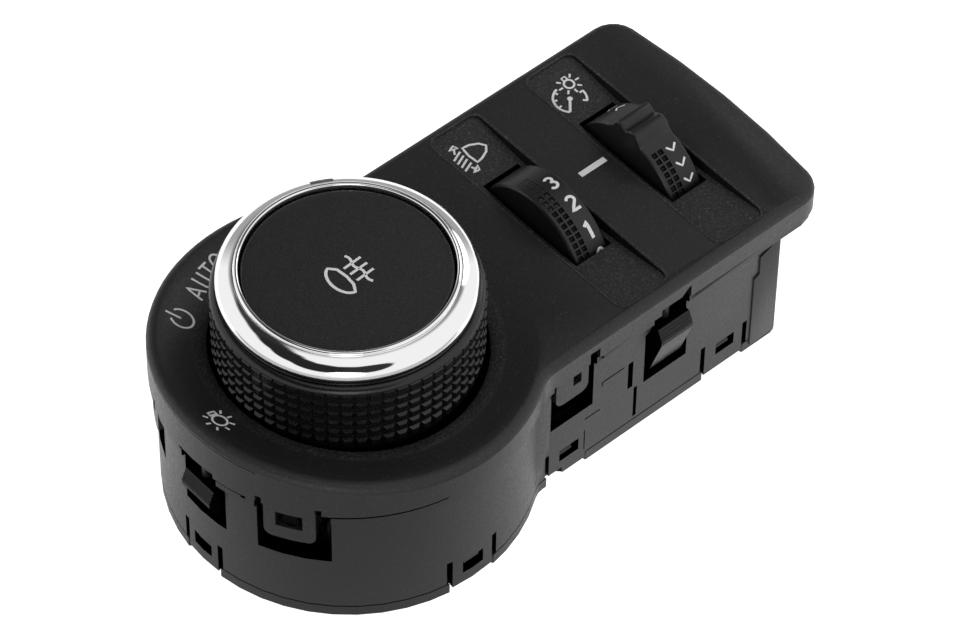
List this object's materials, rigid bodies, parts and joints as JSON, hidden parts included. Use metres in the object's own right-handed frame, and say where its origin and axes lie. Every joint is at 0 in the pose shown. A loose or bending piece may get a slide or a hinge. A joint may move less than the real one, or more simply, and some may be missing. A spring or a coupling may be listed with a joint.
{
  "type": "headlight switch",
  "caption": "Dashboard light switch: keyhole-shaped panel with a knurled turn-and-push knob under a chrome ring, thumbwheels in scooped slots, and side latches for a dash opening.",
  "frame": {"origin": "on the knob's axis, in the plane of the rear cover's outer face", "axes": "+Z towards the driver along the knob's axis, +X from the knob to the thumbwheels, +Y up the panel"},
  "size_m": [0.1264, 0.0708, 0.0546],
  "materials": {
    "panel_black": "satin black paint on plastic",
    "housing_black": "matte moulded plastic",
    "grip_black": "satin moulded plastic",
    "chrome": "polished",
    "window_smoke": "smoked, glossy",
    "light_guide_clear": "clear moulded plastic",
    "board_green": "lacquered board",
    "brass": "plain",
    "spring_steel": "plain",
    "mechanism_white": "moulded plastic"
  },
  "bodies": {
    "root": {"fascia": "panel_black", "housing": "housing_black", "rear_cover": "housing_black", "light_guide": "light_guide_clear", "circuit_board": "board_green", "push_switch": "mechanism_white", "led_1": "mechanism_white", "led_2": "mechanism_white", "led_3": "mechanism_white", "terminal_pin_01": "brass", "terminal_pin_02": "brass", "terminal_pin_03": "brass", "terminal_pin_04": "brass", "terminal_pin_05": "brass", "terminal_pin_06": "brass", "terminal_pin_07": "brass", "terminal_pin_08": "brass", "terminal_pin_09": "brass", "terminal_pin_10": "brass", "detent_spring": "spring_steel", "dimmer_return_spring": "spring_steel", "wheel_carrier": "mechanism_white", "levelling_sensor": "housing_black", "dimmer_sensor": "housing_black"},
    "knob": {"knob_grip": "grip_black", "chrome_ring": "chrome", "pointer_window": "window_smoke", "switch_rotor": "mechanism_white", "contact_wiper": "brass", "button_spring": "spring_steel"},
    "button": {"fog_button": "panel_black", "button_plunger": "mechanism_white"},
    "levelling": {"levelling_wheel": "grip_black", "levelling_axle": "spring_steel"},
    "dimmer": {"dimmer_wheel": "grip_black", "dimmer_axle": "spring_steel"}
  },
  "joints": [
    {"name": "knob_turn", "type": "hinge", "parent": "root", "child": "knob", "pos_m": [0, 0, 0.0349], "axis": [0, 0, 1], "range_deg": [0, 67.5], "deforming": ["detent_spring"]},
    {"name": "fog_push", "type": "slide", "parent": "knob", "child": "button", "axis": [0, 0, -1], "range_m": [0, 0.0015], "stiffness_N_per_m": 1500, "springref_m": -0.0005, "deforming": ["button_spring"]},
    {"name": "levelling_turn", "type": "hinge", "parent": "root", "child": "levelling", "pos_m": [0.0466, 0.0001, 0.0265], "axis": [1, 0, 0], "range_deg": [-70.5, 0]},
    {"name": "dimmer_turn", "type": "hinge", "parent": "root", "child": "dimmer", "pos_m": [0.0698, 0.0001, 0.0265], "axis": [1, 0, 0], "range_deg": [-12, 12], "stiffness_Nm_per_rad": 0.1}
  ]
}
